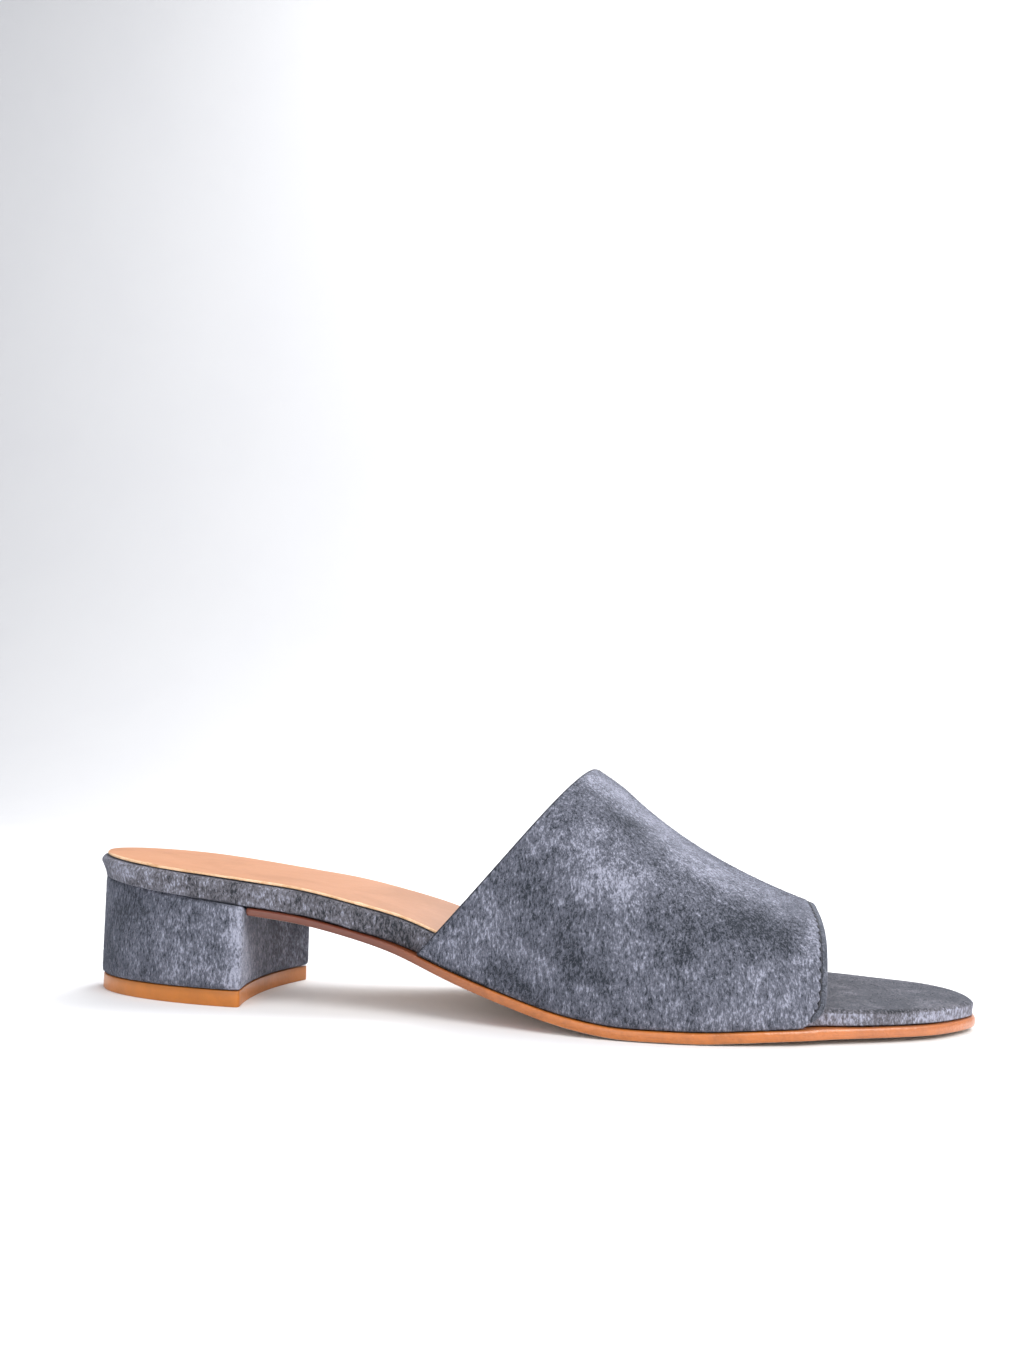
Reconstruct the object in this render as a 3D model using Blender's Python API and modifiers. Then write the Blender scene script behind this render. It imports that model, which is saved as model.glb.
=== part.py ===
"""Right-foot block heel mule with an open toe, from the floor up.

A rubber top piece carries a suede-covered heel block. A leather outsole runs from the
heel's breast to the toe. A wrapped footbed with a leather sock lies on both, and one
suede band, the upper, stands round the footbed on the outsole's edge.

Metres, +X to the toe, +Y to the inner side of the foot, +Z up. Stations along the shoe
are measured from the back of the heel rim, and the whole shoe hangs on one empty that
puts the origin on the floor, under the middle of the heel.
"""

import math
from collections import namedtuple

import bmesh
import bpy
import numpy as np

# Overall sizes
LENGTH = 0.2481
BALL_WIDTH = 0.0825
SEAT_WIDTH = 0.0548
WAIST_WIDTH = 0.0512
TOE_WIDTH = 0.0507
CLEARANCE = 0.0003

# Side profile of the sole
SEAT_HEIGHT = 0.0334
SEAT_PITCH = 0.120
TOE_SPRING = 0.0011
OUTSOLE_THICKNESS = 0.00275

# Plan of the rounded ends
HEEL_CURVE_LENGTH = 0.0310
HEEL_CURVE_POWER = 1.9
TOE_CURVE_LENGTH = 0.0165
TOE_CURVE_POWER = 2.3

# Footbed, sock and their edges
RIM_THICKNESS = 0.0063
RIM_FLARE = 0.0017
RIM_ROLL = 0.0018
SOCK_THICKNESS = 0.0007
SOCK_MARGIN = 0.0017
SOCK_END = 0.1885

# Heel block and top piece
HEEL_BACK = 0.0004
HEEL_OUTER = 0.0269
HEEL_INNER = 0.0242
HEEL_BREAST = 0.0561
BREAST_HOLLOW = 0.0042
HEEL_CORNER = 0.0024
HEEL_EDGE = 0.0007
TOP_PIECE_THICKNESS = 0.0043
TOP_PIECE_MARGIN = 0.0005
HEEL_CENTRE = 0.0285

# Upper
UPPER_WALL = 0.0020
SOLE_MARGIN = 0.0004
TOE_MARGIN = 0.0004
SOLE_STEP = 0.0012
COLLAR_FOOT = 0.1050
COLLAR_TOP = 0.1488
COLLAR_DIP = 0.0011
INSTEP_HEIGHT = 0.0662
FRONT_EDGE = 0.2095
FRONT_LEAN = 0.0016
FRONT_SWEEP = 0.0054
FRONT_SWEEP_POWER = 14
CREST_SWEEP = 0.0019
CREST_SWEEP_POWER = 8
CREST_OFFSET = 0.0010
ARCH_POWER_BACK = 2.4
ARCH_POWER_FRONT = 2.6
FOOT_TUCK = 0.0005
FOLD_WIDTH = 0.0018
FOLD_DEPTH = 0.0005

# Number of steps in the lofts
SIDE_STEPS = 40
END_STEPS = 8
CORNER_STEPS = 4
BREAST_STEPS = 10
ACROSS_STEPS = 4
ARCH_STEPS = 44
VAMP_STEPS = 28

# Outline of the sole in plan: a named width at each station, shared out to both sides.
Outline = namedtuple("Outline", "along width outer inner")
OUTLINE = (
    Outline(0.000, SEAT_WIDTH, 0.496, 0.504),
    Outline(0.110, SEAT_WIDTH, 0.496, 0.504),
    Outline(0.195, SEAT_WIDTH, 0.488, 0.492),
    Outline(0.285, WAIST_WIDTH, 0.504, 0.478),
    Outline(0.395, WAIST_WIDTH, 0.525, 0.520),
    Outline(0.520, BALL_WIDTH, 0.412, 0.384),
    Outline(0.615, BALL_WIDTH, 0.490, 0.446),
    Outline(0.685, BALL_WIDTH, 0.505, 0.486),
    Outline(0.745, BALL_WIDTH, 0.488, 0.500),
    Outline(0.840, TOE_WIDTH, 0.665, 0.765),
    Outline(0.937, TOE_WIDTH, 0.444, 0.556),
    Outline(1.000, TOE_WIDTH, 0.240, 0.457),
)

# Outsole: its underside as a share of the seat's height and of the toe spring, and its substance.
Profile = namedtuple("Profile", "along seat spring leather")
PROFILE = (
    Profile(0.236, 0.726, 0.00, 0.80),
    Profile(0.288, 0.676, 0.00, 0.80),
    Profile(0.339, 0.597, 0.00, 0.80),
    Profile(0.395, 0.486, 0.00, 0.84),
    Profile(0.455, 0.319, 0.00, 0.96),
    Profile(0.520, 0.171, 0.00, 1.00),
    Profile(0.580, 0.064, 0.00, 1.00),
    Profile(0.612, 0.027, 0.00, 1.00),
    Profile(0.653, 0.000, 0.00, 1.00),
    Profile(0.720, 0.000, 0.00, 1.00),
    Profile(0.760, 0.000, 0.40, 1.00),
    Profile(0.800, 0.000, 0.78, 1.00),
    Profile(0.850, 0.000, 1.00, 1.00),
    Profile(1.000, 0.000, 0.90, 1.00),
)

# Footbed: its thickness, how far its edge tucks in under the lip, and the lip's roll.
Rim = namedtuple("Rim", "along thickness flare roll")
RIM = (
    Rim(0.00, 0.97, 1.00, 1.00),
    Rim(0.10, 1.00, 0.75, 0.90),
    Rim(0.24, 1.00, 0.30, 0.85),
    Rim(0.36, 1.00, 0.30, 0.85),
    Rim(0.42, 1.07, 0.30, 0.85),
    Rim(0.55, 1.00, 0.30, 0.90),
    Rim(0.70, 0.85, 0.30, 1.00),
    Rim(0.82, 0.66, 0.25, 1.15),
    Rim(0.88, 0.62, 0.25, 1.20),
    Rim(1.00, 0.60, 0.25, 1.20),
)

# Edge of the footbed from the bottom up: shares of the flare, the roll and the thickness.
RimEdge = namedtuple("RimEdge", "flare roll height")
RIM_EDGE = (
    RimEdge(1.00, 0.00, 0.00),
    RimEdge(0.86, 0.00, 0.26),
    RimEdge(0.40, 0.00, 0.52),
    RimEdge(0.02, 0.02, 0.74),
    RimEdge(0.00, 0.22, 0.89),
    RimEdge(0.00, 0.60, 0.98),
    RimEdge(0.00, 1.20, 1.00),
)

# Edge of a leather sheet from the bottom up, as shares of its thickness.
SheetEdge = namedtuple("SheetEdge", "inset height")
OUTSOLE_EDGE = (
    SheetEdge(0.34, 0.00),
    SheetEdge(0.10, 0.13),
    SheetEdge(0.00, 0.45),
    SheetEdge(0.04, 0.86),
    SheetEdge(0.16, 1.00),
)
SOCK_EDGE = (
    SheetEdge(0.00, 0.00),
    SheetEdge(0.00, 0.70),
    SheetEdge(0.30, 1.00),
)

# Crest of the upper, and behind the collar the instep that the collar's line cuts off.
Crest = namedtuple("Crest", "along height")
CREST = (
    Crest(0.417, 1.400),
    Crest(0.518, 1.190),
    Crest(0.599, 0.998),
    Crest(0.628, 0.924),
    Crest(0.650, 0.850),
    Crest(0.694, 0.724),
    Crest(0.738, 0.624),
    Crest(0.781, 0.544),
    Crest(0.823, 0.479),
    Crest(0.842, 0.455),
    Crest(0.900, 0.380),
)


def smooth(rows, values, x):
    """Smooth line through the rows' values, which stays flat between two equal rows."""
    at = np.array([row.along for row in rows]) * LENGTH
    value = np.array(values)
    run = np.diff(at)
    rise = np.diff(value) / run
    slope = np.zeros(len(at))
    slope[0] = rise[0]
    slope[-1] = rise[-1]
    for i in range(1, len(rise)):
        if rise[i - 1] * rise[i] > 0:
            mean = (rise[i - 1] * run[i] + rise[i] * run[i - 1]) / (run[i - 1] + run[i])
            limit = 3 * min(abs(rise[i - 1]), abs(rise[i]))
            slope[i] = np.clip(mean, -limit, limit)
    x = np.clip(x, at[0], at[-1])
    k = np.clip(np.searchsorted(at, x, side="right") - 1, 0, len(run) - 1)
    t = (x - at[k]) / run[k]
    blend = t * t * (3 - 2 * t)
    lead = t * (1 - t) ** 2 * run[k] * slope[k]
    trail = t * t * (1 - t) * run[k] * slope[k + 1]
    return value[k] + (value[k + 1] - value[k]) * blend + lead - trail


def ease(x, start, end):
    """0 before start, 1 after end, and a soft change between them."""
    t = np.clip((x - start) / (end - start), 0, 1)
    return t * t * (3 - 2 * t)


def end_rounding(x):
    """How the plan closes at the heel's back and at the toe: 0 at the ends, else 1."""
    back = np.clip(1 - x / HEEL_CURVE_LENGTH, 0, 1)
    front = np.clip(1 - (LENGTH - x) / TOE_CURVE_LENGTH, 0, 1)
    heel = (1 - back**HEEL_CURVE_POWER) ** (1 / HEEL_CURVE_POWER)
    toe = (1 - front**TOE_CURVE_POWER) ** (1 / TOE_CURVE_POWER)
    return heel * toe


def sole_step(x):
    """The sole is narrower ahead of the upper, by this much."""
    return SOLE_STEP * ease(x, FRONT_EDGE - 0.7 * FRONT_SWEEP, FRONT_EDGE + 0.2 * FRONT_SWEEP)


def half_width(x, inner, step=0.0):
    """Half width of the plan on one side of the shoe's centre line."""
    widths = [row.width * (row.inner if inner else row.outer) for row in OUTLINE]
    return (smooth(OUTLINE, widths, x) - step) * end_rounding(x)


def leather(x):
    """Thickness of the outsole, thinner at the waist."""
    return OUTSOLE_THICKNESS * smooth(PROFILE, [row.leather for row in PROFILE], x)


def seat_line(x):
    """Height of the footbed's lower face: straight under the heel seat, then the arch."""
    values = [row.seat * SEAT_HEIGHT + row.spring * TOE_SPRING for row in PROFILE]
    arch = smooth(PROFILE, values, x) + leather(x)
    seat = SEAT_HEIGHT - SEAT_PITCH * x
    join = ease(x, HEEL_BREAST, 1.15 * HEEL_BREAST)
    return seat * (1 - join) + arch * join


def underside(x):
    """Height of the outsole's lower face."""
    return seat_line(x) - leather(x)


def rim_value(x, column):
    """One column of the rim's table at a station."""
    return smooth(RIM, [getattr(row, column) for row in RIM], x)


def rim_inset(x):
    """How far the footbed's side lies in from the plan, beside the upper and elsewhere."""
    fold_room = FOLD_DEPTH * ease(x, FRONT_EDGE - 3 * FRONT_SWEEP, FRONT_EDGE - FRONT_SWEEP)
    beside_upper = SOLE_MARGIN + UPPER_WALL + CLEARANCE + fold_room - sole_step(x)
    at_waist = SOLE_MARGIN * ease(x, 0.7 * HEEL_BREAST, HEEL_BREAST)
    under = ease(x, 1.5 * HEEL_BREAST, COLLAR_FOOT - 0.003)
    past = ease(x, FRONT_EDGE + 0.001, FRONT_EDGE + 0.008)
    return (at_waist * (1 - under) + beside_upper * under) * (1 - past) + TOE_MARGIN * past


def end_stations(start, length, steps):
    """Stations that crowd together towards the round end at start."""
    angles = [math.pi / 2 * i / steps for i in range(steps + 1)]
    return [start + length * (1 - math.cos(angle)) for angle in angles]


def stations(start, end):
    """Stations along one side of a full outline, from its back to its tip."""
    back = end_stations(start, HEEL_CURVE_LENGTH, END_STEPS)
    front = [start + end - x for x in end_stations(start, TOE_CURVE_LENGTH, END_STEPS)]
    middle = np.linspace(back[-1], front[-1], SIDE_STEPS)[1:-1]
    return [*back, *middle, *reversed(front)]


def plan_points(xs):
    """Closed plan outline: out along the outer side, round the tip and back."""
    outer = [(x, -half_width(x, False, sole_step(x))) for x in xs]
    inner = [(x, half_width(x, True, sole_step(x))) for x in xs]
    return np.array(outer + inner[-2:0:-1])


def inset(points, distance):
    """The closed outline moved inwards by a distance, one for all points or one for each."""
    before = points - np.roll(points, 1, axis=0)
    after = np.roll(points, -1, axis=0) - points
    before /= np.linalg.norm(before, axis=1)[:, None]
    after /= np.linalg.norm(after, axis=1)[:, None]
    along = before + after
    along /= np.linalg.norm(along, axis=1)[:, None]
    miter = np.maximum((along * after).sum(axis=1), 0.7)
    inward = np.stack([-along[:, 1], along[:, 0]], axis=1)
    return points + inward * (np.broadcast_to(distance, len(points)) / miter)[:, None]


def raised(points, heights):
    """Plan points with their heights."""
    return np.column_stack([points, np.broadcast_to(heights, len(points))])


def rounded_corner(before, corner, after, radius):
    """Points of a soft corner between two directions."""
    start = corner + (before - corner) / np.linalg.norm(before - corner) * radius
    end = corner + (after - corner) / np.linalg.norm(after - corner) * radius
    shares = [i / CORNER_STEPS for i in range(CORNER_STEPS + 1)]
    return [start * (1 - t) ** 2 + corner * 2 * t * (1 - t) + end * t * t for t in shares]


def material(name, colour, roughness):
    """One plain finish."""
    finish = bpy.data.materials.new(name)
    finish.use_nodes = True
    shader = finish.node_tree.nodes["Principled BSDF"]
    shader.inputs["Base Color"].default_value = (*colour, 1)
    shader.inputs["Roughness"].default_value = roughness
    shader.inputs["Metallic"].default_value = 0
    finish.diffuse_color = (*colour, 1)
    return finish


def add_object(name, mesh, finish, parent):
    """One sub-part of the shoe, with its finish, under the shoe's empty."""
    mesh.materials.append(finish)
    mesh.shade_smooth()
    mesh.set_sharp_from_angle(angle=math.radians(38))
    part = bpy.data.objects.new(name, mesh)
    part.parent = parent
    bpy.data.collections["block_heel_mule"].objects.link(part)
    return part


def bridge(bm, lower, upper):
    """Faces between two rings of as many points."""
    count = len(lower)
    for i in range(count):
        j = (i + 1) % count
        bm.faces.new((lower[i], lower[j], upper[j], upper[i]))


def close_across(bm, ring, upwards):
    """Rows of faces across a ring whose point i lies opposite its point -i."""
    half = len(ring) // 2
    rows = [[ring[0]]]
    for i in range(1, half):
        outer = ring[i]
        inner = ring[-i]
        row = [outer]
        for j in range(1, ACROSS_STEPS):
            row.append(bm.verts.new(outer.co.lerp(inner.co, j / ACROSS_STEPS)))
        row.append(inner)
        rows.append(row)
    rows.append([ring[half]])
    for near, far in zip(rows, rows[1:]):
        for j in range(ACROSS_STEPS):
            corners = [near[min(j, len(near) - 1)], near[min(j + 1, len(near) - 1)]]
            corners += [far[min(j + 1, len(far) - 1)], far[min(j, len(far) - 1)]]
            corners = list(dict.fromkeys(corners))
            bm.faces.new(reversed(corners) if upwards else corners)


def loft(name, rings, flat_ends=False):
    """Closed body through rings of points, from its lower face to its upper one."""
    bm = bmesh.new()
    loops = [[bm.verts.new(point) for point in ring] for ring in rings]
    for lower, upper in zip(loops, loops[1:]):
        bridge(bm, lower, upper)
    if flat_ends:
        bm.faces.new(reversed(loops[0]))
        bm.faces.new(loops[-1])
    else:
        close_across(bm, loops[0], upwards=False)
        close_across(bm, loops[-1], upwards=True)
    mesh = bpy.data.meshes.new(name)
    bm.to_mesh(mesh)
    bm.free()
    return mesh


def breast_arc(side_width, back):
    """Half of the breast's hollow line, from its deepest point to one side of the shoe."""
    shares = np.linspace(0, 1, BREAST_STEPS // 2 + 1)
    return [np.array((back + BREAST_HOLLOW * t * t, side_width * t)) for t in shares]


def outsole_plan():
    """Outline of the outsole, whose back end follows the hollow of the heel's breast."""
    back = HEEL_BREAST - BREAST_HOLLOW + CLEARANCE
    tip = [LENGTH - x for x in end_stations(0, TOE_CURVE_LENGTH, END_STEPS)]
    first = back + BREAST_HOLLOW
    sides = [*np.linspace(first, tip[-1], SIDE_STEPS)[:-1], *reversed(tip[1:])]
    outer = [(x, y) for x, y in breast_arc(-HEEL_OUTER, back)[:-1]]
    outer += [(x, -half_width(x, False, sole_step(x))) for x in sides]
    inner = [(x, y) for x, y in breast_arc(HEEL_INNER, back)[1:-1]]
    inner += [(x, half_width(x, True, sole_step(x))) for x in sides]
    return np.array([*outer, (LENGTH, 0.0), *reversed(inner)])


def build_outsole(finish, parent):
    """Leather sheet with a burnished round edge, from the heel's breast to the toe."""
    plan = outsole_plan()
    rings = []
    for edge in OUTSOLE_EDGE:
        points = inset(plan, edge.inset * OUTSOLE_THICKNESS)
        rise = edge.height * leather(points[:, 0])
        rings.append(raised(points, underside(points[:, 0]) + rise))
    return add_object("outsole", loft("outsole", rings), finish, parent)


def build_footbed(finish, parent):
    """Insole board wrapped in suede, whose edge flares to a rolled lip at the heel."""
    plan = plan_points(stations(0, LENGTH))
    along = plan[:, 0]
    side = rim_inset(along)
    flare = rim_value(along, "flare") * RIM_FLARE
    roll = rim_value(along, "roll") * RIM_ROLL
    rings = []
    for edge in RIM_EDGE:
        points = inset(plan, side + flare * edge.flare + roll * edge.roll)
        rise = rim_value(points[:, 0], "thickness") * RIM_THICKNESS * edge.height
        rings.append(raised(points, seat_line(points[:, 0]) + CLEARANCE + rise))
    return add_object("footbed", loft("footbed", rings), finish, parent)


def build_sock_lining(finish, parent):
    """Thin leather sock on the footbed, from the heel to under the vamp."""
    xs = [x for x in stations(0, LENGTH) if x < SOCK_END] + [SOCK_END]
    outer = [(x, -half_width(x, False)) for x in xs]
    inner = [(x, half_width(x, True)) for x in xs]
    plan = np.array([*outer, (SOCK_END, 0.0), *inner[:0:-1]])
    along = plan[:, 0]
    margin = rim_inset(along) + rim_value(along, "roll") * SOCK_MARGIN
    rings = []
    for edge in SOCK_EDGE:
        points = inset(plan, margin + edge.inset * SOCK_THICKNESS)
        top = seat_line(points[:, 0]) + rim_value(points[:, 0], "thickness") * RIM_THICKNESS
        rise = 2 * CLEARANCE + edge.height * SOCK_THICKNESS
        rings.append(raised(points, top + rise))
    return add_object("sock_lining", loft("sock_lining", rings), finish, parent)


def heel_side(width):
    """One side of the heel block in plan: from its back, out along its side, to its breast."""
    depth = HEEL_BREAST - HEEL_BACK
    side = []
    for x in end_stations(HEEL_BACK, depth, 2 * END_STEPS)[:-1]:
        share = 1 - (x - HEEL_BACK) / depth
        half = width * (1 - share**HEEL_CURVE_POWER) ** (1 / HEEL_CURVE_POWER)
        side.append(np.array((x, half)))
    arc = breast_arc(width, HEEL_BREAST - BREAST_HOLLOW)
    turn = rounded_corner(side[-1], arc[-1], arc[-2], HEEL_CORNER)
    return [*side, *turn, *reversed(arc[1:-1])]


def heel_plan():
    """Outline of the heel block: a round back, full sides and a hollow breast."""
    middle = np.array((HEEL_BREAST - BREAST_HOLLOW, 0.0))
    outer = heel_side(-HEEL_OUTER)
    inner = heel_side(HEEL_INNER)[:0:-1]
    return np.array([*outer, middle, *inner])


def build_heel_block(finish, parent):
    """Covered block from the top piece up to the footbed, with soft upper and lower edges."""
    plan = heel_plan()
    bottom = TOP_PIECE_THICKNESS + CLEARANCE
    rings = []
    for share in (1.0, 0.3, 0.0):
        rise = HEEL_EDGE * (1 - share)
        rings.append(raised(inset(plan, HEEL_EDGE * share), bottom + rise))
    for share in (0.0, 0.3, 1.0):
        points = inset(plan, HEEL_EDGE * share)
        rings.append(raised(points, seat_line(points[:, 0]) - HEEL_EDGE * (1 - share)))
    mesh = loft("heel_block", rings, flat_ends=True)
    return add_object("heel_block", mesh, finish, parent)


def build_top_piece(finish, parent):
    """Rubber wearing piece under the heel block, with the block's outline."""
    plan = inset(heel_plan(), TOP_PIECE_MARGIN)
    rings = [raised(plan, 0.0), raised(plan, TOP_PIECE_THICKNESS)]
    mesh = loft("heel_top_piece", rings, flat_ends=True)
    return add_object("heel_top_piece", mesh, finish, parent)


def vamp_point(x, angle, inward=0.0):
    """Point of the upper's outer face at a station, from the outer foot at angle 0 to pi."""
    inner = angle > math.pi / 2
    foot = seat_line(x) + CLEARANCE
    crest = smooth(CREST, [row.height * INSTEP_HEIGHT for row in CREST], x) - inward
    power = ARCH_POWER_BACK + (ARCH_POWER_FRONT - ARCH_POWER_BACK) * ease(
        x, COLLAR_FOOT, FRONT_EDGE
    )
    lift = abs(math.sin(angle)) ** (2 / power)
    reach = abs(math.cos(angle)) ** (2 / power)
    tuck = FOOT_TUCK * max(0.0, 1 - lift * (crest - foot) / (4 * UPPER_WALL)) ** 2
    half = half_width(x, inner) - SOLE_MARGIN - inward - tuck
    side = 1 if inner else -1
    centre = CREST_OFFSET * (1 - reach)
    return np.array((x, side * half * reach + centre, foot + (crest - foot) * lift))


def arch_angles():
    """Angles that space the points of a section through the ball evenly."""
    fine = np.linspace(0, math.pi, 400)
    station = 0.5 * (COLLAR_TOP + FRONT_EDGE)
    points = np.array([vamp_point(station, angle) for angle in fine])
    steps = np.linalg.norm(np.diff(points, axis=0), axis=1)
    walked = np.concatenate([[0], np.cumsum(steps)])
    return np.interp(np.linspace(0, walked[-1], ARCH_STEPS + 1), walked, fine)


def collar_station(angle):
    """Where the collar's line, straight but for a slight dip, meets the last at this angle."""
    foot = seat_line(COLLAR_FOOT) + CLEARANCE
    slope = (INSTEP_HEIGHT - foot) / (COLLAR_TOP - COLLAR_FOOT)
    low = COLLAR_FOOT - 0.01
    high = COLLAR_TOP + 0.01
    for _ in range(40):
        middle = 0.5 * (low + high)
        share = (middle - COLLAR_FOOT) / (COLLAR_TOP - COLLAR_FOOT)
        line = foot + slope * (middle - COLLAR_FOOT) - 4 * COLLAR_DIP * share * (1 - share)
        if vamp_point(middle, angle)[2] > line:
            low = middle
        else:
            high = middle
    return 0.5 * (low + high)


def front_station(angle):
    """Where the front edge lies at this angle: upright, but swept back at its two feet."""
    point = vamp_point(FRONT_EDGE, angle)
    foot = vamp_point(FRONT_EDGE, 0)[2]
    crest = vamp_point(FRONT_EDGE, math.pi / 2)[2]
    share = np.clip((point[2] - foot) / (crest - foot), 0, 1)
    foot_sweep = FRONT_SWEEP * (1 - share) ** FRONT_SWEEP_POWER
    crest_sweep = CREST_SWEEP * share**CREST_SWEEP_POWER
    return FRONT_EDGE + FRONT_LEAN * (share - 0.5) - foot_sweep - crest_sweep


def build_upper(finish, parent):
    """One hollow band of suede and lining, open at the collar, the toe and underneath."""
    fold = np.array([0.0, 0.5, 1.0])
    bm = bmesh.new()
    grid = []
    for angle in arch_angles():
        start = collar_station(angle)
        end = front_station(angle)
        shares = np.linspace(0, 1, VAMP_STEPS)
        xs = [start + (end - FOLD_WIDTH - start) * t for t in shares]
        inward = [0.0] * VAMP_STEPS
        for t in fold[1:]:
            xs.append(end - FOLD_WIDTH * (1 - t))
            inward.append(FOLD_DEPTH * t * t)
        line = [bm.verts.new(vamp_point(x, angle, d)) for x, d in zip(xs, inward)]
        grid.append(line)
    for here, there in zip(grid, grid[1:]):
        for i in range(len(here) - 1):
            bm.faces.new((here[i], here[i + 1], there[i + 1], there[i]))
    bmesh.ops.recalc_face_normals(bm, faces=bm.faces)
    crest = grid[len(grid) // 2][0].link_faces[0]
    if crest.normal.z < 0:
        bmesh.ops.reverse_faces(bm, faces=bm.faces)
    mesh = bpy.data.meshes.new("upper")
    bm.to_mesh(mesh)
    bm.free()
    upper = add_object("upper", mesh, finish, parent)
    wall = upper.modifiers.new("wall", "SOLIDIFY")
    wall.thickness = UPPER_WALL
    wall.offset = -1
    wall.use_even_offset = True
    return upper


def clear_scene():
    """Empties the scene."""
    for old in list(bpy.data.objects):
        bpy.data.objects.remove(old, do_unlink=True)


def main():
    clear_scene()
    shoe = bpy.data.collections.new("block_heel_mule")
    bpy.context.scene.collection.children.link(shoe)
    stand = bpy.data.objects.new("mule_stand", None)
    stand.location = (-HEEL_CENTRE, 0, 0)
    shoe.objects.link(stand)
    suede = material("slate_suede", (0.10, 0.105, 0.13), 0.95)
    outsole_leather = material("outsole_leather", (0.45, 0.17, 0.05), 0.35)
    sock_leather = material("tan_sock_leather", (0.42, 0.17, 0.06), 0.50)
    rubber = material("amber_top_piece", (0.50, 0.16, 0.02), 0.40)
    build_top_piece(rubber, stand)
    build_heel_block(suede, stand)
    build_outsole(outsole_leather, stand)
    build_footbed(suede, stand)
    build_sock_lining(sock_leather, stand)
    build_upper(suede, stand)


main()
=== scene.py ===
"""Looks of a right block heel mule: suede band, covered footbed and heel, leather sole."""

import math
from collections import namedtuple

import bmesh
import bpy
import numpy as np
from mathutils import Matrix, Vector


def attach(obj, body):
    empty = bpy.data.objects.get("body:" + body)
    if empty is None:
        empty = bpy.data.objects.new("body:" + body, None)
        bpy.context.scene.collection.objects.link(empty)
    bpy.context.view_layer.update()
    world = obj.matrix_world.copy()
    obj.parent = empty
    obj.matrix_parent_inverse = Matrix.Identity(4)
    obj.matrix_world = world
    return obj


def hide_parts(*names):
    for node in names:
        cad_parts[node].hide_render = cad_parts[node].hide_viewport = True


bl_info = {
    "name": "Block heel mule",
    "version": (1, 0, 0),
    "blender": (4, 5, 0),
    "location": "View3D > Sidebar > Mule",
    "description": "Dresses the mule's solids in suede and leather, and lights them",
    "category": "Object",
}

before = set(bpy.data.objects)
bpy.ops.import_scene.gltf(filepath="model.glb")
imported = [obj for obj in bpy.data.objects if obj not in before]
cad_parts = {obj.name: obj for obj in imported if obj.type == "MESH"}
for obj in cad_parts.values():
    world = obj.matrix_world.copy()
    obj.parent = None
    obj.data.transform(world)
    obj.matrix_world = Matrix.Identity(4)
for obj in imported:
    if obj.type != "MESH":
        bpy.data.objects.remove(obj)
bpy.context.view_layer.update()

# Camera of the photograph, in the shoe's frame
CAMERA_PLACE = (0.163589, -0.324557, 0.059110)
CAMERA_YAW = math.radians(-11.8031)
CAMERA_PITCH = math.radians(-5.3881)
CAMERA_ROLL = math.radians(0.8474)
CAMERA_LENS = 30.442

# Edges sharper than this part one face of a solid from the next
SHARP_ANGLE = math.radians(40)
SHARP_CREASE = 0.75
MERGE_DISTANCE = 0.000004

# The upper's materials, by their place in its list
SUEDE_SIDE, LINING_SIDE, FRONT_CUT, COLLAR_CUT = range(4)

# The collar's line stops this far above the floor, short of its feet
COLLAR_LOWEST = 0.010

# Fibres strewn over each covered piece
FIBRES = (("upper_suede", 90000), ("footbed_cover", 70000), ("heel_cover", 40000))
FIBRE_SEED = 7

# Lamps: name, place, size, power and colour, all turned to the middle of the shoe
LAMP_TARGET = (0.09, 0.0, 0.02)
Lamp = namedtuple("Lamp", "name place size power colour")
LAMPS = (
    Lamp("key", (0.85, -0.55, 0.75), 0.7, 13.0, (1.0, 0.985, 0.96)),
    Lamp("ridge", (0.35, 0.75, 0.95), 0.8, 11.0, (1.0, 1.0, 1.0)),
    Lamp("fill", (-0.2, -1.1, 0.5), 1.0, 5.0, (0.95, 0.97, 1.0)),
)
BACKDROP_LAMP = Lamp("backdrop", (0.3, 0.9, 2.0), 1.6, 26.0, (1.0, 1.0, 1.0))
BACKDROP_TARGET = (0.2, 1.7, 0.4)
WORLD_COLOUR = (0.93, 0.95, 1, 1)
WORLD_STRENGTH = 0.55

# Floor: its near edge and sides, its depth, and the sweep up to the backdrop
FLOOR_NEAR = -1.6
FLOOR_SIDES = (-3.0, 3.4)
FLOOR_DEPTH = 2.7
SWEEP_RADIUS = 0.8
BACKDROP_HEIGHT = 2.2

# Patches of brushed nap and of painted light and shade on the outer side: place, half sizes, slope
# and shade.
TonePatch = namedtuple("TonePatch", "x z length width slope shade")
# On the vamp, partly brushed nap and partly painted light: a painted highlight along the ridge and
# front shoulder, painted shade in the bands below.
UPPER_NAP_AND_LIGHT = (
    TonePatch(0.1380, 0.0520, 0.0200, 0.0036, -34, 0.90),
    TonePatch(0.1500, 0.0405, 0.0110, 0.0022, -32, 0.80),
    TonePatch(0.1780, 0.0255, 0.0052, 0.0030, 75, 0.85),
    TonePatch(0.1340, 0.0365, 0.0070, 0.0040, 30, 0.50),
    TonePatch(0.1240, 0.0340, 0.0050, 0.0040, 0, 0.35),
    TonePatch(0.1220, 0.0470, 0.0090, 0.0050, -40, 0.45),
    TonePatch(0.1100, 0.0470, 0.0070, 0.0050, 50, 0.50),
    TonePatch(0.1650, 0.0130, 0.0160, 0.0055, 0, 0.35),
    TonePatch(0.0920, 0.0210, 0.0060, 0.0050, 20, 0.25),
    TonePatch(0.1320, 0.0515, 0.0120, 0.0026, -33, -0.60),
    TonePatch(0.1410, 0.0264, 0.0120, 0.0060, -10, -0.35),
    TonePatch(0.1650, 0.0268, 0.0110, 0.0042, -12, -0.75),
    TonePatch(0.1260, 0.0155, 0.0090, 0.0036, -10, -0.55),
    TonePatch(0.1050, 0.0113, 0.0100, 0.0030, -28, -0.60),
)
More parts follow.
